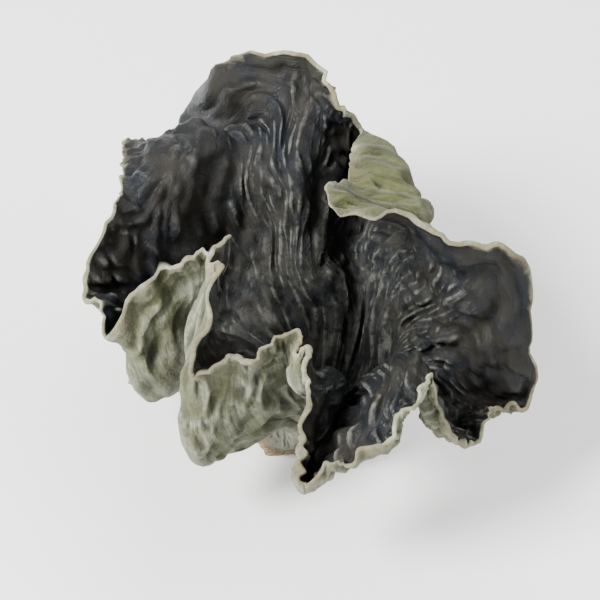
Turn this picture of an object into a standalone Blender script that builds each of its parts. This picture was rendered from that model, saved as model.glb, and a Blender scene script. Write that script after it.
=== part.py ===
"""A dried wood ear mushroom: one thin, crumpled cup that grew from a small stub.

The sheet is worked out ring by ring around the stub.  Every ring lies on a sphere about
the middle of the cup's bottom and wanders up and down it like a river, so the folds deepen
toward the rim and the sheet never crosses itself.  Metres, +Z up, the cut face of the stub
on z = 0 with its middle at the origin.
"""
import bmesh
import bpy
import numpy as np
from mathutils import Vector

NAME = "wood_ear"

# sizes, in metres
REACH = 0.0308              # from the middle of the base to the rim, along a straight line
RIM_THICKNESS = 0.00072
BASE_THICKNESS = 0.0013
CUP_AT = (0.0024, -0.0021)  # the cup leans off its stub: its bottom from the cut's middle
SHEET_HEIGHT = 0.0016       # the middle of the cup's bottom above the cut
LOWEST = 0.0007             # nothing but the stub comes nearer the table than this
FLATTENING = 0.0018         # how softly the sheet is held above LOWEST
SQUEEZE = (0.88, 0.94, 1.15)

# the cup's wall: its angle from upright, in degrees
WALL = dict(angle=45.0, full=0.40, flare=2.0, lean=12.6, lean_from=-0.2145)
RIM_CURL = ((17.8, 2, 3.855), (8.0, 3, 2.895))
RIM_CURL_START = 0.6
STEEPEST = 19.2
FLATTEST = 96.0
ANGLE_SOFTNESS = 8.0

# the folds: each is a set of waves around the cup that swings the ring's heading, in radians
FOLDS = (
    dict(count=5, swing=1.227, starts=0.06, full=0.62, phase=4.133, twist=-0.78,
         patches=1, uneven=0.3, patch_phase=3.18, crisp=1.2, calmed=0.05),
    dict(count=11, swing=0.991, starts=0.24, full=0.85, phase=6.025, twist=0.08,
         patches=1, uneven=0.4, patch_phase=1.62, crisp=1.2, calmed=0.85),
    dict(count=19, swing=0.726, starts=0.45, full=1.0, phase=4.661, twist=-1.3,
         patches=2, uneven=0.6, patch_phase=1.51, crisp=0.75, calmed=0.85),
    dict(count=7, swing=0.578, starts=0.15, full=0.5, phase=2.676, twist=-6.0,
         patches=2, uneven=0.4, patch_phase=0.5, crisp=0.8, calmed=0.38),
    dict(count=16, swing=0.522, starts=0.34, full=0.9, phase=1.791, twist=-6.013,
         patches=2, uneven=0.4, patch_phase=0.5, crisp=0.8, calmed=0.6),
    dict(count=29, swing=0.70, starts=0.62, full=1.0, phase=2.216, twist=0.6,
         patches=1, uneven=0.5, patch_phase=4.0, crisp=0.9, calmed=0.8),
)
HEADING_LIMIT = 1.65
SPACING = ((0.231, 1, 1.372), (0.11, 2, 4.542), (0.079, 3, 3.452))
OUTLINE = ((0.21, 1, 0.12), (0.0959, 4, 5.9705), (0.03, 7, 1.0055))
SLACK = dict(at=5.29, half=0.15, edge=0.4, eased=0.349)
FOLD_SOFTNESS = 1.33        # degrees around the cup

# the stretch of rim that has turned over into the cup
FLAP = dict(at=0.93, half=0.54, edge=0.42, quiet=0.6, start=0.75, turn=132.0,
            calm=12.06, stretch=1.3, blend=0.15, probe=0.006)

# slow waves through space that skew the whole cup: height (m), waves (rad/m), phase, direction
SKEWS = (
    (0.0025, (134, 54, 80), 0.3, (0.3, 0.2, 0.9)),
    (0.0018, (-80, 188, 54), 1.9, (0.9, -0.2, 0.3)),
    (0.0013, (107, -134, 232), 4.1, (-0.3, 0.9, 0.2)),
    (0.0008, (375, 268, -196), 0.8, (0.2, 0.3, 0.9)),
    (0.0007, (-339, 402, 268), 2.8, (0.7, 0.5, 0.4)),
)

# the stub: a puckered foot that spreads from the cut into a ring in the middle of the sheet
STUB_RADIUS = 0.0045
STUB_SQUASH = 0.90
STUB_RIDGES = ((0.06, 3, 2.2), (0.05, 5, 0.4), (0.045, 9, 1.9))
STUB_WAIST = 0.0006
STUB_SPREAD = 1.3           # above 1 the foot stays narrow low down and spreads higher up
STUB_STEPS = 5
STUB_CROWN = (0.22, 0.17, 0.11, 0.05)   # rings it shares with the sheet's middle
STUB_SIDES = 72

# mesh: rings by their share of the reach, closer together where the rim turns over
COLUMNS = 144
RINGS = (0.04, 0.09, 0.15, 0.22, 0.29, 0.37, 0.45, 0.53, 0.61, 0.69, 0.75, 0.81, 0.87,
         0.93, 1.0)
FINE_COLUMNS = 576


def fade(start, end, x):
    t = np.clip((x - start) / (end - start), 0.0, 1.0)
    return t * t * (3.0 - 2.0 * t)


def unit(vectors):
    return vectors / np.linalg.norm(vectors, axis=-1, keepdims=True)


def waves(terms, around):
    return sum(height * np.sin(count * around + phase) for height, count, phase in terms)


def window(around, at, half, edge):
    away = np.abs((around - at + np.pi) % (2.0 * np.pi) - np.pi)
    return 1.0 - fade(half, half + edge, away)


def hold_between(x, low, high, softness):
    x = low + softness * np.logaddexp(0.0, (x - low) / softness)
    return high - softness * np.logaddexp(0.0, (high - x) / softness)


def blur_around(values, degrees, axis=0):
    count = values.shape[axis]
    shape = [1] * values.ndim
    shape[axis] = -1
    waves_per_turn = np.fft.rfftfreq(count, 1.0 / count)
    keep = np.exp(-0.5 * (waves_per_turn * np.radians(degrees)) ** 2).reshape(shape)
    return np.fft.irfft(np.fft.rfft(values, axis=axis) * keep, count, axis=axis)


def heading_of(share, around):
    spaced = around + waves(SPACING, around)
    quiet = window(around, FLAP["at"], FLAP["half"], FLAP["quiet"])
    heading = np.zeros((share.size, around.size))
    for fold in FOLDS:
        patch = 1.0 + fold["uneven"] * np.sin(fold["patches"] * around + fold["patch_phase"])
        patch = patch * (1.0 - fold["calmed"] * quiet)
        wave = np.sin(fold["count"] * spaced + fold["phase"] + fold["twist"] * share)
        wave = np.tanh(fold["crisp"] * wave) / np.tanh(fold["crisp"])
        heading += fold["swing"] * fade(fold["starts"], fold["full"], share) * patch * wave
    heading = HEADING_LIMIT * np.tanh(heading / HEADING_LIMIT)
    slack = SLACK["eased"] * window(around, SLACK["at"], SLACK["half"], SLACK["edge"])
    return heading * (1.0 - slack)


def rings_of_sheet(shares, around):
    """Rows of points, one ring for each share of the reach."""
    share = np.asarray(shares, float)[:, None]
    around = around[None, :]
    step = 2.0 * np.pi / around.size
    heading = heading_of(share, around)
    along = np.cos(heading)
    rise = np.sin(heading)
    rise = rise - rise.mean(1, keepdims=True)
    scale = step / along.mean(1, keepdims=True)
    turned = (np.cumsum(along, 1) - 0.5 * along) * scale
    turned = turned - turned.mean(1, keepdims=True) + np.pi
    lift = (np.cumsum(rise, 1) - 0.5 * rise) * scale
    lift = lift - lift.mean(1, keepdims=True)

    angle = 90.0 - (90.0 - WALL["angle"]) * fade(0.0, WALL["full"], share)
    angle = angle + WALL["flare"] * fade(0.6, 1.0, share)
    angle = angle + WALL["lean"] * np.sin(turned - WALL["lean_from"]) * fade(0.1, 0.8, share)
    angle = angle + waves(RIM_CURL, around) * fade(RIM_CURL_START, 1.0, share)
    angle = hold_between(angle + np.degrees(lift), STEEPEST, FLATTEST, ANGLE_SOFTNESS)
    angle = 90.0 + (angle - 90.0) * fade(0.0, 0.05, share)
    angle = np.radians(angle)

    reach = REACH * (1.0 + waves(OUTLINE, around)) * share
    points = np.stack([reach * np.sin(angle) * np.cos(turned) * SQUEEZE[0],
                       reach * np.sin(angle) * np.sin(turned) * SQUEEZE[1],
                       reach * np.cos(angle) * SQUEEZE[2]], -1)
    return blur_around(points, FOLD_SOFTNESS, axis=1)


def turn_rim_over(points, share, around):
    """Roll the rim inward along the flap, on a circle that starts at the flap's bend."""
    start = FLAP["start"]
    probe = FLAP["probe"]
    below, bend, above = rings_of_sheet((start - probe, start, start + probe), around)
    outward = unit(blur_around(unit(above - below), FLAP["calm"]))
    sideways = np.roll(bend, -1, 0) - np.roll(bend, 1, 0)
    inward = blur_around(unit(np.cross(above - below, sideways)), FLAP["calm"])
    inward = unit(inward - (inward * outward).sum(-1, keepdims=True) * outward)

    amount = window(around, FLAP["at"], FLAP["half"], FLAP["edge"])
    length = REACH * (1.0 + waves(OUTLINE, around)) * (1.0 - start) * FLAP["stretch"]
    angle = np.radians(FLAP["turn"]) * np.maximum(amount, 1e-6)
    radius = length / angle
    part = np.clip((share - start) / (1.0 - start), 0.0, 1.0)[:, None]
    forward = (radius * np.sin(angle * part))[..., None] * outward
    inside = (radius * (1.0 - np.cos(angle * part)))[..., None] * inward
    rolled = bend + forward + inside
    mix = fade(0.0, FLAP["blend"], amount)[None, :, None] * (share > start)[:, None, None]
    return points * (1.0 - mix) + rolled * mix


def middle_of_sheet(shares, columns):
    """Points of the sheet's middle surface: ring, column, xyz."""
    share = np.array(shares, float)
    around = np.linspace(0.0, 2.0 * np.pi, FINE_COLUMNS, endpoint=False)
    points = turn_rim_over(rings_of_sheet(share, around), share, around)
    grow = fade(0.05, 0.5, share)[:, None, None]
    for height, wave, phase, direction in SKEWS:
        swell = np.sin(points @ np.array(wave, float) + phase)[..., None]
        points = points + height * swell * np.array(direction) * grow
    points[..., :2] += CUP_AT
    raised = points[..., 2] + SHEET_HEIGHT - LOWEST
    points[..., 2] = LOWEST + FLATTENING * np.logaddexp(0.0, raised / FLATTENING)
    return points[:, ::FINE_COLUMNS // columns]


def wrap_grid(points):
    """A bmesh tube through rows of points, each row a ring."""
    rows, columns = points.shape[:2]
    bm = bmesh.new()
    bmesh.ops.create_grid(bm, x_segments=columns, y_segments=rows - 1, size=0.5)
    for vert in bm.verts:
        column = round((vert.co.x + 0.5) * columns) % columns
        row = round((vert.co.y + 0.5) * (rows - 1))
        vert.co = points[row, column]
    bmesh.ops.remove_doubles(bm, verts=bm.verts, dist=1e-6)
    return bm


def open_edges_near(bm, ring):
    """The boundary edges of a tube's end that lies on a ring of points."""
    middle = Vector(ring.mean(0))
    size = np.linalg.norm(ring - ring.mean(0), axis=1).max() * 1.01
    return [edge for edge in bm.edges
            if edge.is_boundary and (edge.verts[0].co - middle).length < size]


def make_sheet(collection, material):
    """A grid bent into the crumpled cup, given its thickness by Solidify."""
    points = middle_of_sheet(RINGS, COLUMNS)
    bm = wrap_grid(points)
    bottom = bmesh.ops.contextual_create(bm, geom=open_edges_near(bm, points[0]))["faces"]
    bmesh.ops.poke(bm, faces=bottom)
    bmesh.ops.recalc_face_normals(bm, faces=bm.faces)
    mesh = bpy.data.meshes.new(NAME)
    bm.to_mesh(mesh)
    bm.free()

    mesh.materials.append(material)
    sheet = bpy.data.objects.new(NAME, mesh)
    collection.objects.link(sheet)
    thick = sheet.vertex_groups.new(name="toward_base")
    for vert in mesh.vertices:
        near = 1.0 - fade(0.0, 0.5 * REACH, vert.co.length)
        thick.add([vert.index], float(near), "REPLACE")
    solidify = sheet.modifiers.new("thickness", "SOLIDIFY")
    solidify.thickness = BASE_THICKNESS
    solidify.offset = 0.0
    solidify.use_even_offset = True
    solidify.use_quality_normals = True
    solidify.vertex_group = thick.name
    solidify.thickness_vertex_group = RIM_THICKNESS / BASE_THICKNESS
    return sheet


def make_stub(collection):
    """The solid foot where the mushroom was cut from the wood, flat underneath."""
    crown = middle_of_sheet(STUB_CROWN, STUB_SIDES)
    around = np.linspace(0.0, 2.0 * np.pi, STUB_SIDES, endpoint=False)
    radius = STUB_RADIUS * (1.0 + waves(STUB_RIDGES, around))
    outward = np.stack([np.cos(around), STUB_SQUASH * np.sin(around), 0.0 * around], -1)
    foot = outward * radius[:, None]
    up = (np.arange(STUB_STEPS) / STUB_STEPS)[:, None, None]
    waist = outward * STUB_WAIST * np.sin(np.pi * up)
    spread = up ** STUB_SPREAD
    side = foot * (1.0 - spread) + crown[0] * spread - waist
    side[..., 2:] = crown[0, :, 2:] * up
    points = np.concatenate([side, crown])

    bm = wrap_grid(points)
    for ring in (points[0], points[-1]):
        bmesh.ops.contextual_create(bm, geom=open_edges_near(bm, ring))
    bmesh.ops.recalc_face_normals(bm, faces=bm.faces)
    mesh = bpy.data.meshes.new("stub")
    bm.to_mesh(mesh)
    bm.free()
    stub = bpy.data.objects.new("stub", mesh)
    stub.hide_render = True
    stub.display_type = "WIRE"
    collection.objects.link(stub)
    return stub


def join_stub(sheet, stub):
    join = sheet.modifiers.new("stub", "BOOLEAN")
    join.operation = "UNION"
    join.solver = "EXACT"
    join.object = stub


def dried_skin():
    material = bpy.data.materials.new("dried_skin")
    material.use_nodes = True
    shader = material.node_tree.nodes["Principled BSDF"]
    shader.inputs["Base Color"].default_value = (0.030, 0.030, 0.026, 1.0)
    shader.inputs["Roughness"].default_value = 0.55
    shader.inputs["Metallic"].default_value = 0.0
    return material


def new_collection(name):
    collection = bpy.data.collections.new(name)
    bpy.context.scene.collection.children.link(collection)
    return collection


def main():
    for old in list(bpy.data.objects):
        bpy.data.objects.remove(old)
    mushroom = new_collection("dried_wood_ear")
    helpers = new_collection("joined_shapes")
    sheet = make_sheet(mushroom, dried_skin())
    join_stub(sheet, make_stub(helpers))


main()
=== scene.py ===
import math

import bpy
import numpy as np
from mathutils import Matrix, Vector


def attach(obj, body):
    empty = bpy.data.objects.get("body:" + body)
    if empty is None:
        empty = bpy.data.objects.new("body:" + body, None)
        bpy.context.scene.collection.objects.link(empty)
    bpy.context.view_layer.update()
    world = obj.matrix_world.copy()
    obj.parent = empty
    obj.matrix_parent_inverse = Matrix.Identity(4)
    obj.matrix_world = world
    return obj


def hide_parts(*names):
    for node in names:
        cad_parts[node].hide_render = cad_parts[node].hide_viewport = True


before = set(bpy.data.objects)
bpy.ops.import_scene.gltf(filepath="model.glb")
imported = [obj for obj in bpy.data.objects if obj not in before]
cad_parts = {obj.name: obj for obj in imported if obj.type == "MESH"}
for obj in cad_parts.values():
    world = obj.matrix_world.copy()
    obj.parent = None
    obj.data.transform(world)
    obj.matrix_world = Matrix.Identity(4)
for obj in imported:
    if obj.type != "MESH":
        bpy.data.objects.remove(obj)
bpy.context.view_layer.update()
print("frame loaded")

# the crumpled sheet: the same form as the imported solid, from the same values. Lengths are in
# metres; the wall's angle, flare, lean, curl and limits, the flap's turn and all blurs are in
# degrees, and headings, bearings and phases in radians. A wave is (height, count, phase). A pair
# named ...Starts is where along the reach something begins and where it is full, with 0 in the
# middle of the cup and 1 at the rim
sheet = dict(
    reach=0.0308, rimThickness=0.00072, baseThickness=0.0013,
    cupAt=(0.0024, -0.0021), height=0.0016, lowest=0.0007, flattening=0.0018,
    squeeze=(0.88, 0.94, 1.15),
    wall=dict(angle=45.0, full=0.4, flare=2.0, flareStarts=(0.6, 1.0),
              lean=12.6, leanFrom=-0.2145, leanStarts=(0.1, 0.8)),
    rimCurl=((17.8, 2, 3.855), (8.0, 3, 2.895)), rimCurlStart=0.6,
    steepest=19.2, flattest=96.0, angleSoftness=8.0, level=0.05, headingLimit=1.65,
    spacing=((0.231, 1, 1.372), (0.11, 2, 4.542), (0.079, 3, 3.452)),
    outline=((0.21, 1, 0.12), (0.0959, 4, 5.9705), (0.03, 7, 1.0055)),
    slack=dict(at=5.29, half=0.15, edge=0.4, eased=0.349),
    foldSoftness=1.33,
    folds=(
        dict(count=5, swing=1.227, starts=0.06, full=0.62, phase=4.133, twist=-0.78,
             patches=1, uneven=0.3, patchPhase=3.18, crisp=1.2, calmed=0.05),
        dict(count=11, swing=0.991, starts=0.24, full=0.85, phase=6.025, twist=0.08,
             patches=1, uneven=0.4, patchPhase=1.62, crisp=1.2, calmed=0.85),
        dict(count=19, swing=0.726, starts=0.45, full=1.0, phase=4.661, twist=-1.3,
             patches=2, uneven=0.6, patchPhase=1.51, crisp=0.75, calmed=0.85),
        dict(count=7, swing=0.578, starts=0.15, full=0.5, phase=2.676, twist=-6.0,
             patches=2, uneven=0.4, patchPhase=0.5, crisp=0.8, calmed=0.38),
        dict(count=16, swing=0.522, starts=0.34, full=0.9, phase=1.791, twist=-6.013,
             patches=2, uneven=0.4, patchPhase=0.5, crisp=0.8, calmed=0.6),
        dict(count=29, swing=0.7, starts=0.62, full=1.0, phase=2.216, twist=0.6,
             patches=1, uneven=0.5, patchPhase=4.0, crisp=0.9, calmed=0.8),
    ),
    skewStarts=(0.05, 0.5),
    skews=(
        (0.0025, (134, 54, 80), 0.3, (0.3, 0.2, 0.9)),
        (0.0018, (-80, 188, 54), 1.9, (0.9, -0.2, 0.3)),
        (0.0013, (107, -134, 232), 4.1, (-0.3, 0.9, 0.2)),
        (0.0008, (375, 268, -196), 0.8, (0.2, 0.3, 0.9)),
        (0.0007, (-339, 402, 268), 2.8, (0.7, 0.5, 0.4)),
    ),
)

# the stretch of rim that has turned over into the cup
flap = dict(at=0.93, half=0.54, edge=0.42, quiet=0.6, start=0.75, turn=132.0,
            calm=12.06, stretch=1.3, blend=0.15, probe=0.006)


def fade(start, end, x):
    # 0 before start, 1 after end, and a smooth cubic step between them
    t = np.clip((x - start) / (end - start), 0.0, 1.0)
    return t * t * (3.0 - 2.0 * t)


def unit(vectors):
    return vectors / (np.linalg.norm(vectors, axis=-1, keepdims=True) + 1e-15)


def waves(terms, around):
    return sum(height * np.sin(count * around + phase) for height, count, phase in terms)


def window(around, at, half, edge):
    # 1 within half of an angle, fading to 0 over edge
    away = np.abs((around - at + np.pi) % (2.0 * np.pi) - np.pi)
    return 1.0 - fade(half, half + edge, away)


def holdBetween(x, low, high, softness):
    # a clip with rounded corners, from the log of a sum of exponentials
    x = low + softness * np.logaddexp(0.0, (x - low) / softness)
    return high - softness * np.logaddexp(0.0, (high - x) / softness)


def blurAround(values, degrees, axis=0):
    # a Gaussian blur along a closed ring, done on its Fourier waves
    count = values.shape[axis]
    shape = [1] * values.ndim
    shape[axis] = -1
    wavesPerTurn = np.fft.rfftfreq(count, 1.0 / count)
    keep = np.exp(-0.5 * (wavesPerTurn * np.radians(degrees)) ** 2).reshape(shape)
    return np.fft.irfft(np.fft.rfft(values, axis=axis) * keep, count, axis=axis)


def headingOf(share, around):
    # how far the ring heads up or down the wall: sets of waves round the cup, each with its own
    # patches, squashed by tanh so that no heading passes its limit
    spaced = around + waves(sheet["spacing"], around)
    quiet = window(around, flap["at"], flap["half"], flap["quiet"])
    heading = np.zeros((share.size, around.size))
    for fold in sheet["folds"]:
        patch = 1.0 + fold["uneven"] * np.sin(fold["patches"] * around + fold["patchPhase"])
        patch = patch * (1.0 - fold["calmed"] * quiet)
        wave = np.sin(fold["count"] * spaced + fold["phase"] + fold["twist"] * share)
        wave = np.tanh(fold["crisp"] * wave) / np.tanh(fold["crisp"])
        heading += fold["swing"] * fade(fold["starts"], fold["full"], share) * patch * wave
    limit = sheet["headingLimit"]
    heading = limit * np.tanh(heading / limit)
    ease = sheet["slack"]
    return heading * (1.0 - ease["eased"] * window(around, ease["at"], ease["half"], ease["edge"]))


def sheetRings(shares, around):
    # each ring lies on a sphere about the cup's bottom: its bearing is the running sum of the
    # heading's cosine and its height on the sphere the running sum of the sine
    share = np.asarray(shares, float)[:, None]
    around = around[None, :]
    step = 2.0 * np.pi / around.size
    heading = headingOf(share, around)
    along = np.cos(heading)
    rise = np.sin(heading)
    rise = rise - rise.mean(1, keepdims=True)
    scale = step / along.mean(1, keepdims=True)
    turned = (np.cumsum(along, 1) - 0.5 * along) * scale
    turned = turned - turned.mean(1, keepdims=True) + np.pi
    lift = (np.cumsum(rise, 1) - 0.5 * rise) * scale
    lift = lift - lift.mean(1, keepdims=True)

    wall = sheet["wall"]
    angle = 90.0 - (90.0 - wall["angle"]) * fade(0.0, wall["full"], share)
    angle = angle + wall["flare"] * fade(*wall["flareStarts"], share)
    lean = wall["lean"] * np.sin(turned - wall["leanFrom"])
    angle = angle + lean * fade(*wall["leanStarts"], share)
    angle = angle + waves(sheet["rimCurl"], around) * fade(sheet["rimCurlStart"], 1.0, share)
    angle = holdBetween(angle + np.degrees(lift), sheet["steepest"], sheet["flattest"],
                        sheet["angleSoftness"])
    angle = np.radians(90.0 + (angle - 90.0) * fade(0.0, sheet["level"], share))

    reach = sheet["reach"] * (1.0 + waves(sheet["outline"], around)) * share
    points = np.stack([reach * np.sin(angle) * np.cos(turned),
                       reach * np.sin(angle) * np.sin(turned),
                       reach * np.cos(angle)], -1) * np.array(sheet["squeeze"])
    return blurAround(points, sheet["foldSoftness"], axis=1)


def turnRimOver(points, share, around):
    # past the bend, the sheet leaves along its own slope and rolls inward on a circle
    start = flap["start"]
    below, bend, above = sheetRings((start - flap["probe"], start, start + flap["probe"]), around)
    outward = unit(blurAround(unit(above - below), flap["calm"]))
    sideways = np.roll(bend, -1, 0) - np.roll(bend, 1, 0)
    inward = blurAround(unit(np.cross(above - below, sideways)), flap["calm"])
    inward = unit(inward - (inward * outward).sum(-1, keepdims=True) * outward)

    amount = window(around, flap["at"], flap["half"], flap["edge"])
    length = sheet["reach"] * (1.0 + waves(sheet["outline"], around))
    length = length * (1.0 - start) * flap["stretch"]
    angle = np.radians(flap["turn"]) * np.maximum(amount, 1e-6)
    radius = length / angle
    part = np.clip((share - start) / (1.0 - start), 0.0, 1.0)[:, None]
    forward = (radius * np.sin(angle * part))[..., None] * outward
    inside = (radius * (1.0 - np.cos(angle * part)))[..., None] * inward
    mix = fade(0.0, flap["blend"], amount)[None, :, None] * (share > start)[:, None, None]
    return points * (1.0 - mix) + (bend + forward + inside) * mix


def sheetMiddle(share, around):
    # the rings with the flap, pushed about by slow sine waves and flattened above the ground
    points = turnRimOver(sheetRings(share, around), share, around)
    grow = fade(*sheet["skewStarts"], share)[:, None, None]
    for height, wave, phase, direction in sheet["skews"]:
        swell = np.sin(points @ np.array(wave, float) + phase)[..., None]
        points = points + height * swell * np.array(direction) * grow
    points[..., :2] += sheet["cupAt"]
    raised = points[..., 2] + sheet["height"] - sheet["lowest"]
    soft = sheet["flattening"]
    points[..., 2] = sheet["lowest"] + soft * np.logaddexp(0.0, raised / soft)
    return points


def latticeNoise(points, cell, seed):
    # smooth noise from -1 to 1: random values on a repeating lattice, joined by cubic steps
    size = 32
    table = np.random.default_rng(seed).uniform(-1.0, 1.0, (size, size, size))
    where = points / np.asarray(cell)
    low = np.floor(where).astype(int)
    t = where - low
    t = t * t * (3.0 - 2.0 * t)
    total = 0.0
    for dx in (0, 1):
        for dy in (0, 1):
            for dz in (0, 1):
                x, y, z = ((low + (dx, dy, dz)) % size).transpose(-1, *range(low.ndim - 1))
                wx, wy, wz = (t[..., k] if d else 1.0 - t[..., k]
                              for k, d in enumerate((dx, dy, dz)))
                total = total + table[x, y, z] * wx * wy * wz
    return total


# how the dried skin crinkles, beyond the folds: heights, lengths and lattice cells in metres
crinkle = dict(
    spread=0.034, widens=0.80,       # radius of the horn that most of the pattern is wrapped on
    drum=0.050,                      # radius of the drum for what runs straight to the rim
    rimStarts=(0.72, 1.0), rimCut=0.6, rimCalm=0.93,
    rimWaver=0.00022, rimWaverCell=(0.0021, 0.0021, 0.0060),
    rimNotch=0.00030, rimNotchCell=(0.0013, 0.0013, 0.0040),
    buckle=0.00060, buckleCell=(0.0056, 0.0056, 0.0068), buckleStarts=(0.22, 0.5),
    wrinkle=0.00070, wrinkleCell=(0.0024, 0.0024, 0.0048), wrinkleStarts=(0.10, 0.35),
    wrinkleBend=0.0011, wrinkleShift=40, grooveSoft=0.004, grooveSunk=0.55,
    loose=0.00036, looseCell=(0.0021, 0.0015, 0.0021), looseStarts=(0.3, 0.6),
    veins=0.00038, veinCell=(0.0015, 0.0015, 0.0036), veinStarts=(0.05, 0.2),
    veinsFade=0.55, veinsFadeStarts=(0.35, 0.9),
    ribs=0.00017, ribCell=(0.0013, 0.0013, 0.0120), ribStarts=(0.12, 0.4), rimRibs=0.7,
    squeezed=(0.35, 1.1),            # stretch around the cup where relief begins and is full
    drawnOut=(1.0, 1.7),             # the same for the second, loose set of wrinkles
    tightCrease=0.0016,              # a crease of this radius has half the wrinkles and veins
    stretchBlur=0.6, calmNormals=0.5,
    markBlur=0.25, markLeast=0.2, markStarts=(0.1, 0.6))

# the skin's thickness, on top of the sheet's own values
thickness = dict(
    thins=(0.0, 0.5), vary=0.16, varyCell=(0.003, 0.003, 0.005), pinch=0.5,
    rimThinner=0.30, rimMost=0.55,
    rimFine=0.20, rimFineCell=(0.0026, 0.0026, 0.004),
    rimSlow=0.26, rimSlowCell=(0.0095, 0.0095, 0.004))

seeds = dict(buckle=11, waver=12, notch=13, vary=14, veins=15, ribs=16, wrinkle=17,
             rimFine=18, rimSlow=19, loose=20)

# the grid: fine columns to work on, about how many are kept, rows from the middle to the rim, and
# the cell that short rows are thinned to; bunch moves the rows a little closer together at the
# rim, and outerFrom is how far round the rim the outer face's material starts
grid = dict(fine=2304, columns=928, columnMultiple=16, rows=88, bunch=0.03, rimRows=5, rimReach=1.04,
            cell=0.00036, halveBelow=0.6, coarsest=58,
            crowd=1.1, crowdShares=(0.6, 0.75, 0.9, 1.0), crowdBlur=1.2, outerFrom=0.25)

# the foot, cut off flat: it spreads from the cut into the underside of the sheet
foot = dict(radius=0.0045, squash=0.90,
            ridges=((0.06, 3, 2.2), (0.05, 5, 0.4), (0.045, 9, 1.9)),
            puckers=((0.016, 17, 0.9), (0.012, 26, 2.6)),
            leaves=0.25, pull=0.0038, stand=0.0016, splay=0.0012, rows=16, cutRows=7,
            patternDrop=0.012)

# where along the reach the flap's own colour comes up
flapColoured = (0.62, 0.86)


def pickColumns(around):
    # more columns where the rim turns sharply: even steps in a running sum of 1 + crowd * turning
    shares = np.array(grid["crowdShares"])
    heading = headingOf(shares[:, None], around[None, :])
    turning = np.abs(np.roll(heading, -1, 1) - np.roll(heading, 1, 1)).mean(0)
    turning = blurAround(turning / turning.mean(), grid["crowdBlur"])
    total = np.cumsum(1.0 + grid["crowd"] * np.maximum(turning, 0.0))
    even = (np.arange(grid["columns"]) + 0.5) / grid["columns"] * total[-1]
    keep = np.unique(np.searchsorted(total, even))
    columns = len(keep) // grid["columnMultiple"] * grid["columnMultiple"]
    return keep[np.round(np.arange(columns) * len(keep) / columns).astype(int)]


def slopes(points):
    down = np.gradient(points, axis=0)
    side = np.roll(points, -1, 1) - np.roll(points, 1, 1)
    return down, side


def bendAround(points, normal):
    # curvature around the cup, positive where the sheet bends toward its normal
    before, after = np.roll(points, 1, 1), np.roll(points, -1, 1)
    step = 0.5 * np.linalg.norm(after - before, axis=-1) + 1e-9
    return ((after + before - 2.0 * points) * normal).sum(-1) / step ** 2


def flatPattern(around, radius, share):
    # the sheet rolled on a drum or a horn, so that its pattern closes on itself
    return np.stack(np.broadcast_arrays(radius * np.cos(around), radius * np.sin(around),
                                        sheet["reach"] * share), -1)


def hornRadius(share):
    # wider toward the rim, where the sheet is longer around
    return crinkle["spread"] * (1.0 + crinkle["widens"] * share ** 2)


def starting(name, share):
    return fade(*crinkle[name], share)[:, None]


def buckledSheet(share, around):
    # the middle of the skin with its broad dents and its uneven rim, and what the finer relief
    # needs: directions, the flat pattern, and where the sheet is squeezed or drawn out
    points = sheetMiddle(share, around)
    down, side = slopes(points)
    normal = unit(np.cross(down, side))                    # toward the inside of the cup
    outward = unit(down)
    evenSide = 4.0 * np.pi / grid["fine"] * sheet["reach"] * share[:, None]
    stretch = np.linalg.norm(side, axis=-1) / evenSide
    room = blurAround(fade(*crinkle["squeezed"], stretch), crinkle["stretchBlur"], axis=1)
    loose = blurAround(fade(*crinkle["drawnOut"], stretch), crinkle["stretchBlur"], axis=1)

    flat = flatPattern(around[None, :], hornRadius(share[:, None]), share[:, None])
    toRim = starting("rimStarts", share)
    buckle = latticeNoise(flat, crinkle["buckleCell"], seeds["buckle"])
    buckle = buckle * starting("buckleStarts", share)
    waver = latticeNoise(flat, crinkle["rimWaverCell"], seeds["waver"]) * toRim
    notch = latticeNoise(flat[-1:], crinkle["rimNotchCell"], seeds["notch"]) * toRim ** 2
    lift = (crinkle["buckle"] * buckle + crinkle["rimWaver"] * waver) * room
    cut = crinkle["rimNotch"] * (notch * room - crinkle["rimCut"] * toRim ** 2)
    points = points + normal * lift[..., None] + outward * cut[..., None]

    down, side = slopes(points)
    normal = unit(blurAround(unit(np.cross(down, side)), crinkle["calmNormals"], axis=1))
    return dict(points=points, normal=normal, outward=unit(down), flat=flat, toRim=toRim,
                buckle=buckle, room=room, loose=loose)


def pinched(half, hollow):
    # half / (1 + (half * hollow / pinch)^4)^(1/4), so that a tight crease doesn't close on itself
    return half / (1.0 + (half * np.maximum(hollow, 0.0) / thickness["pinch"]) ** 4) ** 0.25


def skinHalves(skin, share):
    # half the thickness: less toward the rim, and unevenly less along it
    fromBase = 1.0 - fade(*thickness["thins"], share)
    gain = sheet["baseThickness"] - sheet["rimThickness"]
    half = 0.5 * (sheet["rimThickness"] + gain * fromBase)[:, None]
    vary = latticeNoise(skin["flat"], thickness["varyCell"], seeds["vary"])
    half = half * (1.0 + thickness["vary"] * vary)
    fine = latticeNoise(skin["flat"][-1:], thickness["rimFineCell"], seeds["rimFine"])
    slow = latticeNoise(skin["flat"][-1:], thickness["rimSlowCell"], seeds["rimSlow"])
    thinner = thickness["rimThinner"] + thickness["rimFine"] * fine + thickness["rimSlow"] * slow
    return half * (1.0 - np.clip(thinner, 0.0, thickness["rimMost"]) * skin["toRim"])


def grooves(points, cell, seed):
    # 2 * sqrt(noise^2 + softness) - sunk: creases along the zero lines of the noise
    noise = latticeNoise(points, cell, seed)
    return 2.0 * np.sqrt(noise ** 2 + crinkle["grooveSoft"]) - crinkle["grooveSunk"]


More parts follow.
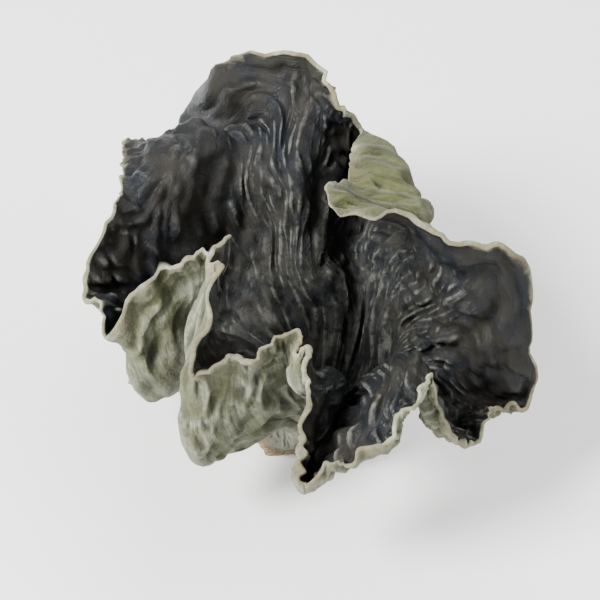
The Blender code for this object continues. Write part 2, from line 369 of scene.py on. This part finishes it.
def skinFaces(share, around):
    # the inner and the outer face: wrinkles are one height on both, veins are raised on the inner
    # face and ribs on the outer one
    skin = buckledSheet(share, around)
    half = skinHalves(skin, share)
    curl = bendAround(skin["points"], skin["normal"])
    inside, outside = pinched(half, curl), pinched(half, -curl)
    tight = 1.0 / (1.0 + (crinkle["tightCrease"] * curl) ** 2)
    calm = fade(1.0, crinkle["rimCalm"], share)[:, None]

    buckle = skin["buckle"]
    shifted = np.roll(buckle, crinkle["wrinkleShift"], 1)
    bent = skin["flat"] + crinkle["wrinkleBend"] * np.stack([buckle, shifted, 0.0 * buckle], -1)
    wrinkle = grooves(bent, crinkle["wrinkleCell"], seeds["wrinkle"]) * starting("wrinkleStarts", share)
    second = grooves(skin["points"], crinkle["looseCell"], seeds["loose"])
    second = second * starting("looseStarts", share)
    wrinkle = tight * (crinkle["wrinkle"] * skin["room"] * wrinkle
                       + crinkle["loose"] * skin["loose"] * second)

    veins = 1.0 - 2.0 * np.abs(latticeNoise(skin["flat"], crinkle["veinCell"], seeds["veins"]))
    veins = veins * (1.0 - crinkle["veinsFade"] * starting("veinsFadeStarts", share))
    veins = veins * starting("veinStarts", share) * tight * inside / half
    drum = flatPattern(around[None, :], crinkle["drum"], share[:, None])
    ribs = latticeNoise(drum, crinkle["ribCell"], seeds["ribs"]) * starting("ribStarts", share)
    ribs = ribs * (1.0 + crinkle["rimRibs"] * skin["toRim"]) * outside / half
    veins = crinkle["veins"] * skin["room"] * calm * veins
    ribs = crinkle["ribs"] * skin["room"] * calm * ribs

    inner = skin["points"] + skin["normal"] * (inside + wrinkle + veins)[..., None]
    outer = skin["points"] - skin["normal"] * (outside - wrinkle + ribs)[..., None]
    bend = blurAround(bendAround(0.5 * (inner + outer), skin["normal"]), crinkle["markBlur"], axis=1)
    least = crinkle["markLeast"]
    bend = bend * (least + (1.0 - least) * starting("markStarts", share))
    tip = skin["points"][0].mean(0) + skin["normal"][0].mean(0) * half[0].mean()
    return inner, outer, skin["outward"], bend, tip


def roundRim(inner, outer, outward):
    # half turns from the inner to the outer face
    turn = np.linspace(0.0, np.pi, grid["rimRows"] + 2)[1:-1]
    centre, across = 0.5 * (inner + outer), 0.5 * (inner - outer)
    width = np.linalg.norm(across, axis=-1, keepdims=True)
    return [centre + across * np.cos(a) + outward * width * np.sin(a) for a in turn]


def footRows(outer, leave, down, around):
    # each column is a cubic curve from the sheet's underside to the edge of the cut, and then runs
    # in over the cut
    away = unit(outer[leave] - outer[leave + 1]) * foot["pull"]
    radius = foot["radius"] * (1.0 + waves(foot["ridges"] + foot["puckers"], around))
    radial = np.stack([np.cos(around), foot["squash"] * np.sin(around), 0.0 * around], -1)
    end = radial * radius[:, None]
    arrive = np.array([0.0, 0.0, -foot["stand"]]) + radial * foot["splay"]
    t = down[:, None, None]
    side = ((2 * t ** 3 - 3 * t ** 2 + 1) * outer[leave] + (t ** 3 - 2 * t ** 2 + t) * away
            + (3 * t ** 2 - 2 * t ** 3) * end + (t ** 3 - t ** 2) * arrive)
    inward = 1.0 - np.linspace(0.0, 1.0, foot["cutRows"] + 1)[1:-1]
    return side, end * inward[:, None, None]


def mushroomRows():
    # rows of points from the middle of the cup, out over the inner face, round the rim, back
    # along the outer face, down the foot and in to the middle of the cut
    around = np.linspace(0.0, 2.0 * np.pi, grid["fine"], endpoint=False)
    share = np.linspace(0.0, 1.0, grid["rows"] + 1)[1:]
    share = share + grid["bunch"] * np.sin(np.pi * share)
    inner, outer, outward, bend, tip = skinFaces(share, around)
    rim = roundRim(inner[-1], outer[-1], outward[-1])
    leave = int(np.searchsorted(share, foot["leaves"]))
    down = np.linspace(0.0, 1.0, foot["rows"] + 1)[1:]
    side, cut = footRows(outer, leave, down, around)

    rows = np.concatenate([inner, rim, outer[leave:][::-1], side, cut])
    count = dict(inner=len(inner), rim=len(rim), outer=len(outer) - leave, side=len(side),
                 cut=len(cut))
    marks = rowMarks(count, share, leave, down)
    crease = np.concatenate([bend, np.repeat(bend[-1:], len(rim), 0), bend[leave:][::-1],
                             bend[leave] * (1.0 - down[:, None]) ** 2,
                             np.zeros((len(cut), len(around)))])
    keep = pickColumns(around)
    return rows[:, keep], marks, crease[:, keep], (tip, np.zeros(3)), around[keep]


def rowMarks(count, share, leave, down):
    # for each row: which face it is on (0 inner, 1 outer), its share of the reach, and the foot
    # (0 above it, 1 at its edge, 2 on the cut)
    turn = np.linspace(0.0, 1.0, count["rim"] + 2)[1:-1]
    face = np.concatenate([np.zeros(count["inner"]), turn,
                           np.ones(count["outer"] + count["side"] + count["cut"])])
    reach = np.concatenate([share, np.full(count["rim"], grid["rimReach"]), share[leave:][::-1],
                            share[leave] * (1.0 - down), np.zeros(count["cut"])])
    low = np.concatenate([np.zeros(count["inner"] + count["rim"] + count["outer"]),
                          fade(0.0, 1.0, down), np.full(count["cut"], 2.0)])
    return dict(face=face, reach=reach, foot=low)


def columnSteps(rows):
    # rows that are short keep every 2nd, 4th or 8th column, and neighbours differ at most twofold
    columns = rows.shape[1]
    lengths = np.linalg.norm(np.roll(rows, -1, 1) - rows, axis=-1).sum(1)
    shortest = grid["halveBelow"] * grid["cell"]
    steps = np.ones(len(rows), int)
    for i, length in enumerate(lengths):
        while columns // steps[i] > grid["coarsest"] and length / columns * steps[i] < shortest:
            steps[i] *= 2
    for i in range(1, len(rows)):
        steps[i] = min(steps[i], steps[i - 1] * 2)
    for i in range(len(rows) - 2, -1, -1):
        steps[i] = min(steps[i], steps[i + 1] * 2)
    return steps


def joinRows(a, b, m, n):
    # the faces between two closed rows, m points from index a on and n points from index b on:
    # squares where m and n are equal, and otherwise three triangles for each pair of edges
    if m == n:
        j = np.arange(m)
        k = (j + 1) % m
        return np.stack([a + j, b + j, b + k, a + k], -1).tolist()
    small, big = (a, b) if m < n else (b, a)
    j = np.arange(min(m, n))
    k = (j + 1) % min(m, n)
    left, mid, right = 2 * j, 2 * j + 1, (2 * j + 2) % max(m, n)
    three = [np.stack([small + j, big + left, big + mid], -1),
             np.stack([small + j, big + mid, small + k], -1),
             np.stack([small + k, big + mid, big + right], -1)]
    return [face for part in three for face in (part if m < n else part[:, ::-1]).tolist()]


def thinnedGrid(rows, marks, crease, tips, around):
    # the rows, thinned where they are short, as points and faces; both ends close on a point
    steps = columnSteps(rows)
    counts = rows.shape[1] // steps
    starts = np.concatenate([[0], np.cumsum(counts)])
    verts = np.concatenate([rows[i, ::steps[i]] for i in range(len(rows))])
    values = {name: np.repeat(mark, counts) for name, mark in marks.items()}
    values["crease"] = np.concatenate([crease[i, ::steps[i]] for i in range(len(rows))])
    values["around"] = np.concatenate([around[::steps[i]] for i in range(len(rows))])
    faces = []
    for i in range(len(rows) - 1):
        faces += joinRows(starts[i], starts[i + 1], counts[i], counts[i + 1])
    for tip, row, turned in ((tips[0], 0, False), (tips[1], len(rows) - 1, True)):
        j = np.arange(counts[row]) + starts[row]
        fan = np.stack([np.full(len(j), len(verts)), j, np.roll(j, -1)], -1)
        faces += (fan[:, ::-1] if turned else fan).tolist()
        verts = np.concatenate([verts, [tip]])
        for name in values:
            values[name] = np.append(values[name], values[name][starts[row]])
    return verts, faces, values


def makeMushroom(materials):
    # the rows become one closed mesh; "flat" and "drum" are each point's place on the sheet rolled
    # on the horn and on the drum, and "turned" is 1 on the flap
    verts, faces, values = thinnedGrid(*mushroomRows())
    mesh = bpy.data.meshes.new("mushroom")
    mesh.from_pydata(verts.tolist(), [], faces)
    flat = flatPattern(values["around"], hornRadius(values["reach"]), values["reach"])
    drum = flatPattern(values["around"], crinkle["drum"], values["reach"])
    values["turned"] = fade(*flapColoured, values["reach"]) * window(
        values["around"], flap["at"], flap["half"], flap["edge"])
    for name, pattern in (("flat", flat), ("drum", drum)):
        pattern[:, 2] -= foot["patternDrop"] * values["foot"]
        mesh.attributes.new(name, "FLOAT_VECTOR", "POINT").data.foreach_set(
            "vector", pattern.astype(np.float32).ravel())
    for name in ("reach", "foot", "crease", "turned"):
        mesh.attributes.new(name, "FLOAT", "POINT").data.foreach_set(
            "value", values[name].astype(np.float32))
    for material in materials:
        mesh.materials.append(material)

    # slot 0 is the inner skin, 1 the outer down with most of the rim, 2 the cut
    first = np.array([face[0] for face in faces])
    third = np.array([face[2] for face in faces])
    outside = 0.5 * (values["face"][first] + values["face"][third]) > grid["outerFrom"]
    onCut = np.minimum(values["foot"][first], values["foot"][third]) >= 1.0
    slots = np.where(onCut, 2, outside.astype(int))
    mesh.polygons.foreach_set("material_index", slots.astype(np.int32))
    mesh.shade_smooth()
    mesh.update()
    piece = bpy.data.objects.new("mushroom", mesh)
    bpy.context.scene.collection.objects.link(piece)
    triangles = sum(len(face) - 2 for face in faces)
    print("mushroom made:", len(verts), "points,", triangles, "triangles")
    return piece


def addNode(tree, kind, inputs=None, **settings):
    # a node with its settings made and each input either linked or given its value
    node = tree.nodes.new(kind)
    for name, value in settings.items():
        setattr(node, name, value)
    for name, value in (inputs or {}).items():
        if isinstance(value, bpy.types.NodeSocket):
            tree.links.new(value, node.inputs[name])
        else:
            node.inputs[name].default_value = value
    return node


def mathNode(tree, operation, a, b=0.5, c=0.5):
    return addNode(tree, "ShaderNodeMath", {0: a, 1: b, 2: c}, operation=operation).outputs[0]


def times(tree, a, b):
    return mathNode(tree, "MULTIPLY", a, b)


def plusShares(tree, total, *parts):
    # the total, plus each part's noise times its share
    for noise, share in parts:
        total = mathNode(tree, "MULTIPLY_ADD", noise, share, total)
    return total


def ramp(tree, value, span):
    # a smooth step, 0 at the span's first end and 1 at its second, which may be the lower one
    return addNode(tree, "ShaderNodeMapRange", {"Value": value, "From Min": span[0],
                                                "From Max": span[1]},
                   interpolation_type="SMOOTHSTEP").outputs[0]


def blendColours(tree, amount, a, b):
    return addNode(tree, "ShaderNodeMix", {0: amount, 6: a, 7: b}, data_type="RGBA").outputs[2]


def noiseNode(tree, place, cells, detail, roughness, distortion=0.0):
    return addNode(tree, "ShaderNodeTexNoise", {
        "Vector": place, "Scale": cells, "Detail": detail, "Roughness": roughness,
        "Distortion": distortion}).outputs[0]


def newGroup(name, inputs, output):
    group = bpy.data.node_groups.new(name, "ShaderNodeTree")
    for label, kind in inputs.items():
        group.interface.new_socket(label, in_out="INPUT", socket_type="NodeSocket" + kind)
    group.interface.new_socket(output, in_out="OUTPUT", socket_type="NodeSocketFloat")
    enter = group.nodes.new("NodeGroupInput")
    leave = group.nodes.new("NodeGroupOutput")
    return group, enter.outputs, leave.inputs[0]


def useGroup(tree, group, **inputs):
    return addNode(tree, "ShaderNodeGroup", inputs, node_tree=group).outputs[0]


# what the groups add: fast noise to the mottle, and grain to the wrinkles
mottleShape = dict(fastCells=5.3, fastShare=0.33)
wrinkleShape = dict(steepness=-5.0, grainCells=5.0)


def mottleGroup():
    # slow noise plus a third as much fast noise, made into a smooth step about its middle
    group, given, out = newGroup("skinMottle", dict(Place="Vector", Size="Float", Contrast="Float"),
                                 "Mottle")
    slow = noiseNode(group, given["Place"], given["Size"], 4.0, 0.6, 0.6)
    fastCells = times(group, given["Size"], mottleShape["fastCells"])
    fast = noiseNode(group, given["Place"], fastCells, 3.0, 0.65)
    both = plusShares(group, slow, (fast, mottleShape["fastShare"]))
    middle = 0.5 * (1.0 + mottleShape["fastShare"])
    low = mathNode(group, "SUBTRACT", middle, given["Contrast"])
    high = mathNode(group, "ADD", middle, given["Contrast"])
    group.links.new(ramp(group, both, (low, high)), out)
    return group


def wrinkleGroup():
    # 1 - 5 * |noise - 0.5|, which is sharp ridges, plus finer noise times Grain
    group, given, out = newGroup("fineWrinkles", dict(Place="Vector", Size="Float", Grain="Float"),
                                 "Height")
    warped = noiseNode(group, given["Place"], given["Size"], 3.0, 0.55, 1.1)
    away = mathNode(group, "ABSOLUTE", mathNode(group, "SUBTRACT", warped, 0.5))
    ridge = mathNode(group, "MULTIPLY_ADD", away, wrinkleShape["steepness"], 1.0)
    grainCells = times(group, given["Size"], wrinkleShape["grainCells"])
    grain = noiseNode(group, given["Place"], grainCells, 2.0, 0.6)
    group.links.new(plusShares(group, ridge, (grain, given["Grain"])), out)
    return group


def mottled(tree, mottle, place, look):
    size, contrast = look
    return useGroup(tree, mottle, Place=place, Size=size, Contrast=contrast)


def wrinkled(tree, wrinkles, place, look):
    size, grain = look
    return useGroup(tree, wrinkles, Place=place, Size=size, Grain=grain)


def streaked(tree, drum, look):
    # noise on the drum pattern, with longer cells toward the rim than across
    across, along = look
    place = addNode(tree, "ShaderNodeVectorMath", {0: drum, 1: (across, across, along)},
                    operation="MULTIPLY").outputs[0]
    return noiseNode(tree, place, 1.0, 3.0, 0.55)


def startMaterial(name, look, wanted):
    # a new material with the mesh's marks that it wants and the place in the object
    material = bpy.data.materials.new(name)
    material.use_nodes = True
    tree = material.node_tree
    shader = tree.nodes["Principled BSDF"]
    shader.inputs["Roughness"].default_value = look["rough"]
    shader.inputs["Specular IOR Level"].default_value = look["specular"]
    marks = {"place": addNode(tree, "ShaderNodeTexCoord").outputs["Object"]}
    for mark in wanted:
        node = addNode(tree, "ShaderNodeAttribute", attribute_name=mark)
        marks[mark] = node.outputs["Vector" if mark in ("flat", "drum") else "Fac"]
    return material, tree, shader, marks


def finishMaterial(tree, shader, colour, height, bump):
    strength, distance = bump
    node = addNode(tree, "ShaderNodeBump", {"Height": height, "Strength": strength,
                                            "Distance": distance})
    tree.links.new(node.outputs[0], shader.inputs["Normal"])
    tree.links.new(colour, shader.inputs["Base Color"])


# linear colours
colours = dict(
    black=(0.0082, 0.0096, 0.0122, 1.0), brown=(0.0175, 0.0160, 0.0125, 1.0),
    # the grey before rim is a greyer tone near the middle of the cup, and wear with painted highlight
    # along the sharp inner ridges
    greyAndHighlight=(0.110, 0.111, 0.098, 1.0), rim=(0.305, 0.325, 0.215, 1.0),
    rust=(0.13, 0.095, 0.040, 1.0), olive=(0.116, 0.119, 0.079, 1.0),
    ash=(0.242, 0.249, 0.186, 1.0), margin=(0.098, 0.108, 0.034, 1.0),
    # the dark shade colour is also painted shade in the outer creases and on the flap's rib stripes;
    # the pale crest colour is a bloom that is also painted highlight on the outer crests
    shade=(0.026, 0.027, 0.018, 1.0), crestBloomAndHighlight=(0.31, 0.325, 0.235, 1.0),
    neck=(0.085, 0.062, 0.034, 1.0), tan=(0.30, 0.195, 0.090, 1.0),
    bark=(0.035, 0.024, 0.015, 1.0))

# the rim's patches, one over the other: colour, mark, cells per metre, contrast and share
rimPatches = (("ash", "flat", 560.0, 0.20, 0.90), ("olive", "place", 150.0, 0.12, 0.85),
              ("neck", "place", 235.0, 0.09, 0.55), ("rust", "place", 330.0, 0.16, 0.35))


def rimColour(tree, mottle, marks):
    # mostly pale cream-green, with ashen, olive, dim and rusty patches
    colour = colours["rim"]
    for tint, mark, size, contrast, share in rimPatches:
        patch = times(tree, mottled(tree, mottle, marks[mark], (size, contrast)), share)
        colour = blendColours(tree, patch, colour, colours[tint])
    return colour


# in these looks, blotches, fine and specks are (cells per metre, contrast), folds, pile and fibres
# (cells per metre, grain), streaks and ribs (cells per metre across, along), and bump (strength,
# metres); a span is where a ramp is 0 and where it is 1, along the reach or the foot, or in bend
# per metre; the rest are shares
innerLook = dict(
    specular=0.11, rough=0.34, roughBlotch=0.12, roughFine=0.20, roughPale=0.3,
    blotch=(170.0, 0.22), fine=(900.0, 0.25), slow=(120.0, 0.20),
    # the first pair greys the middle of the cup; ridge is the share of grey along sharp inner ridges,
    # partly wear and partly painted highlight
    middleGreySpan=(0.8, 0.4), middleGrey=0.22, ridgeGreyAndHighlightSpan=(-400.0, -3000.0), ridge=0.9,
    paleSpan=(1.010, 1.040), paleFine=0.016, paleSlow=0.022,
    folds=(760.0, 0.10), streaks=(2600.0, 500.0), streakHeight=0.5, bump=(0.50, 0.00010))


def innerSkin(mottle, wrinkles):
    # satin blue-black, browner in blotches, greyer near the middle, and grey along sharp ridges that is
    # wear and painted highlight; the last sliver before the rim turns pale by an uneven amount
    look = innerLook
    material, tree, shader, marks = startMaterial("innerSkin", look,
                                                  ("reach", "crease", "flat", "drum"))
    blotch = mottled(tree, mottle, marks["place"], look["blotch"])
    fine = mottled(tree, mottle, marks["place"], look["fine"])
    slow = mottled(tree, mottle, marks["place"], look["slow"])
    colour = blendColours(tree, blotch, colours["black"], colours["brown"])
    # the ridge share is grey wear with painted highlight where the sharp inner ridges would catch light
    for mark, span, share in (("reach", "middleGreySpan", "middleGrey"), ("crease", "ridgeGreyAndHighlightSpan", "ridge")):
        greyAndHighlight = times(tree, times(tree, ramp(tree, marks[mark], look[span]), look[share]), fine)
        colour = blendColours(tree, greyAndHighlight, colour, colours["greyAndHighlight"])
    edge = plusShares(tree, marks["reach"], (fine, look["paleFine"]), (slow, look["paleSlow"]))
    pale = ramp(tree, edge, look["paleSpan"])
    colour = blendColours(tree, pale, colour, rimColour(tree, mottle, marks))
    rough = mathNode(tree, "MULTIPLY_ADD", blotch, look["roughBlotch"], look["rough"])
    rough = plusShares(tree, rough, (fine, look["roughFine"]), (pale, look["roughPale"]))
    tree.links.new(rough, shader.inputs["Roughness"])
    fold = wrinkled(tree, wrinkles, marks["flat"], look["folds"])
    streak = streaked(tree, marks["drum"], look["streaks"])
    height = plusShares(tree, fold, (streak, look["streakHeight"]))
    finishMaterial(tree, shader, colour, height, look["bump"])
    return material


downLook = dict(
    specular=0.2, rough=0.92, sheen=0.08, sheenRough=0.5,
    blotch=(210.0, 0.13), speck=(1700.0, 0.22), speckShade=0.28,
    streaks=(1500.0, 170.0), streakSpan=(0.36, 0.64), streakShade=0.34,
    marginSpan=(0.68, 1.0), marginBlotch=-0.2, marginStreak=0.25, margin=0.5, turnedMargin=0.95,
    bandTurns=26.0, bandBlotch=1.6, band=0.11,     # the bands' sine: radians to the rim, and more
    # the rib stripes on the flap are painted shade standing in for the ribs' relief
    ribs=(850.0, 45.0), ribShadeSpan=(0.42, 0.60), ribShade=0.5,
    # crest is the share of a pale bloom that is also painted highlight on the outer crests
    crestSpan=(500.0, 4000.0), crest=0.38, crestMargin=-0.34,
    # crease is the share of painted shade in the outer creases
    creaseShadeSpan=(-300.0, -2600.0), crease=0.8,
    neckSpan=(0.27, 0.02), neckBlotch=-0.10, neckStreak=0.09, barkSpan=(0.5, 0.9),
    cutSpan=(0.98, 1.2), cutStreak=0.25,
    edgeSpan=(0.972, 1.035), edgeBlotch=0.03, edgeSpeck=0.02, edgeTurned=-0.025,
    pile=(1500.0, 0.9), pileStreaks=(3800.0, 900.0), pileStreakHeight=1.2, bump=(0.55, 0.00012))


def marginAmount(tree, marks, blotch, streak):
    # greener toward the rim, by an uneven amount, and all over the flap
    look = downLook
    margin = plusShares(tree, marks["reach"], (blotch, look["marginBlotch"]),
                        (streak, look["marginStreak"]))
    margin = times(tree, ramp(tree, margin, look["marginSpan"]), look["margin"])
    return mathNode(tree, "MAXIMUM", margin, times(tree, marks["turned"], look["turnedMargin"]))


def bandAmount(tree, marks, blotch):
    # band * (1 + sin(26 * reach + 1.6 * blotch)): faint rings about the middle
    look = downLook
    wander = plusShares(tree, times(tree, marks["reach"], look["bandTurns"]),
                        (blotch, look["bandBlotch"]))
    return mathNode(tree, "MULTIPLY_ADD", mathNode(tree, "SINE", wander), look["band"], look["band"])


def stripeAmount(tree, marks, streak):
    # streaks toward the rim, and broader dark stripes on the flap, painted shade standing in for its
    # ribs
    look = downLook
    ribShade = ramp(tree, streaked(tree, marks["drum"], look["ribs"]), look["ribShadeSpan"])
    ribShade = times(tree, ribShade, times(tree, marks["turned"], look["ribShade"]))
    return plusShares(tree, ribShade, (streak, look["streakShade"]))


def outerDown(mottle, wrinkles):
    # grey-olive down with faint bands and streaks toward the rim: a pale bloom with painted highlight
    # on crests, painted shade in the creases and in dark stripes for the flap's ribs, pale at the very
    # edge, brown down the neck and tan where it was cut
    look = downLook
    material, tree, shader, marks = startMaterial(
        "outerDown", look, ("reach", "foot", "crease", "turned", "flat", "drum"))
    shader.inputs["Sheen Weight"].default_value = look["sheen"]
    shader.inputs["Sheen Roughness"].default_value = look["sheenRough"]
    blotch = mottled(tree, mottle, marks["place"], look["blotch"])
    speck = mottled(tree, mottle, marks["place"], look["speck"])
    streak = ramp(tree, streaked(tree, marks["drum"], look["streaks"]), look["streakSpan"])

    margin = marginAmount(tree, marks, blotch, streak)
    # a pale bloom that is also painted highlight on the crests, less of it toward the rim
    crestBloomAndHighlight = ramp(tree, marks["crease"], look["crestSpan"])
    crestBloomAndHighlight = times(tree, crestBloomAndHighlight, mathNode(tree, "MULTIPLY_ADD", margin, look["crestMargin"],
                                        look["crest"]))
    # painted shade in the creases
    crease = times(tree, ramp(tree, marks["crease"], look["creaseShadeSpan"]), look["crease"])
    neck = plusShares(tree, marks["reach"], (blotch, look["neckBlotch"]),
                      (streak, look["neckStreak"]))
    neck = ramp(tree, neck, look["neckSpan"])
    cut = plusShares(tree, marks["foot"], (streak, look["cutStreak"]))
    edge = plusShares(tree, marks["reach"], (blotch, look["edgeBlotch"]),
                      (speck, look["edgeSpeck"]), (marks["turned"], look["edgeTurned"]))
    colour = blendColours(tree, blotch, colours["olive"], colours["ash"])
    for amount, tint in ((margin, colours["margin"]),
                         (bandAmount(tree, marks, blotch), colours["shade"]),
                         (stripeAmount(tree, marks, streak), colours["shade"]),
                         (times(tree, speck, look["speckShade"]), colours["shade"]),
                         (crestBloomAndHighlight, colours["crestBloomAndHighlight"]),
                         (crease, colours["shade"]),
                         (neck, colours["neck"]),
                         (times(tree, ramp(tree, speck, look["barkSpan"]), neck), colours["bark"]),
                         (ramp(tree, cut, look["cutSpan"]), colours["tan"]),
                         (ramp(tree, edge, look["edgeSpan"]), rimColour(tree, mottle, marks))):
        colour = blendColours(tree, amount, colour, tint)
    pile = wrinkled(tree, wrinkles, marks["place"], look["pile"])
    strands = streaked(tree, marks["drum"], look["pileStreaks"])
    height = plusShares(tree, pile, (strands, look["pileStreakHeight"]))
    finishMaterial(tree, shader, colour, height, look["bump"])
    return material


cutLook = dict(specular=0.25, rough=0.85, blotch=(420.0, 0.14), crumb=(1300.0, 0.10),
               crumbShare=0.6, fibres=(900.0, 0.6), bump=(0.7, 0.0002))


def cutFace(mottle, wrinkles):
    # torn tan fibres with darker bark crumbs
    look = cutLook
    material, tree, shader, marks = startMaterial("cutFace", look, ())
    blotch = mottled(tree, mottle, marks["place"], look["blotch"])
    crumb = mottled(tree, mottle, marks["place"], look["crumb"])
    colour = blendColours(tree, blotch, colours["tan"], colours["neck"])
    colour = blendColours(tree, times(tree, crumb, look["crumbShare"]), colour, colours["bark"])
    height = wrinkled(tree, wrinkles, marks["place"], look["fibres"])
    finishMaterial(tree, shader, colour, height, look["bump"])
    return material


mottle = mottleGroup()
wrinkles = wrinkleGroup()
mushroom = makeMushroom([innerSkin(mottle, wrinkles), outerDown(mottle, wrinkles),
                         cutFace(mottle, wrinkles)])
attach(mushroom, "root")
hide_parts("wood_ear")

# the studio: a pale floor under a faint, cool sky, and soft square lamps high at the left, at the
# right, behind, and low at the front left; a lamp is x, y, z, width in metres and power in watts
studio = dict(
    floor=1.2, floorColour=(0.80, 0.80, 0.79, 1.0), floorRough=0.8,
    air=(0.93, 0.96, 1.0, 1.0), airStrength=0.46, lampsAim=(0.0, 0.0, 0.012),
    lamps=((-0.24, -0.14, 0.34, 0.15, 6.0), (0.30, -0.06, 0.22, 0.30, 1.6),
           (0.02, 0.30, 0.26, 0.22, 1.6), (-0.26, -0.20, 0.07, 0.14, 0.9)))


def buildFloor():
    size = studio["floor"]
    mesh = bpy.data.meshes.new("floor")
    mesh.from_pydata([(-size, -size, 0), (size, -size, 0), (size, size, 0), (-size, size, 0)], [],
                     [(0, 1, 2, 3)])
    floor = bpy.data.objects.new("floor", mesh)
    bpy.context.scene.collection.objects.link(floor)
    material = bpy.data.materials.new("paleFloor")
    material.use_nodes = True
    shader = material.node_tree.nodes["Principled BSDF"]
    shader.inputs["Base Color"].default_value = studio["floorColour"]
    shader.inputs["Roughness"].default_value = studio["floorRough"]
    mesh.materials.append(material)


def buildLights():
    world = bpy.data.worlds.new("studioAir")
    world.use_nodes = True
    background = world.node_tree.nodes["Background"]
    background.inputs["Color"].default_value = studio["air"]
    background.inputs["Strength"].default_value = studio["airStrength"]
    bpy.context.scene.world = world
    for i, (x, y, z, width, power) in enumerate(studio["lamps"]):
        light = bpy.data.lights.new("softLamp%d" % i, "AREA")
        light.energy, light.size = power, width
        lamp = bpy.data.objects.new(light.name, light)
        lamp.location = (x, y, z)
        toward = Vector(studio["lampsAim"]) - lamp.location
        lamp.rotation_euler = toward.to_track_quat("-Z", "Y").to_euler()
        bpy.context.scene.collection.objects.link(lamp)


# the camera looks along +Y, and down at the slant that the photo shows the cup from
cameraView = dict(azimuth=0.0, elevation=45.0, lens=200.0, distance=0.348,
                  aim=(0.0005, 0.0040, 0.0155), clip=(0.01, 10.0))


def placeCamera():
    azimuth, elevation = math.radians(cameraView["azimuth"]), math.radians(cameraView["elevation"])
    back = Vector((math.sin(azimuth) * math.cos(elevation),
                   -math.cos(azimuth) * math.cos(elevation), math.sin(elevation)))
    data = bpy.data.cameras.new("camera")
    data.lens = cameraView["lens"]
    data.clip_start, data.clip_end = cameraView["clip"]
    camera = bpy.data.objects.new("camera", data)
    camera.location = Vector(cameraView["aim"]) + back * cameraView["distance"]
    camera.rotation_euler = (-back).to_track_quat("-Z", "Y").to_euler()
    bpy.context.scene.collection.objects.link(camera)
    bpy.context.scene.camera = camera


buildFloor()
buildLights()
placeCamera()
print("studio and camera placed")
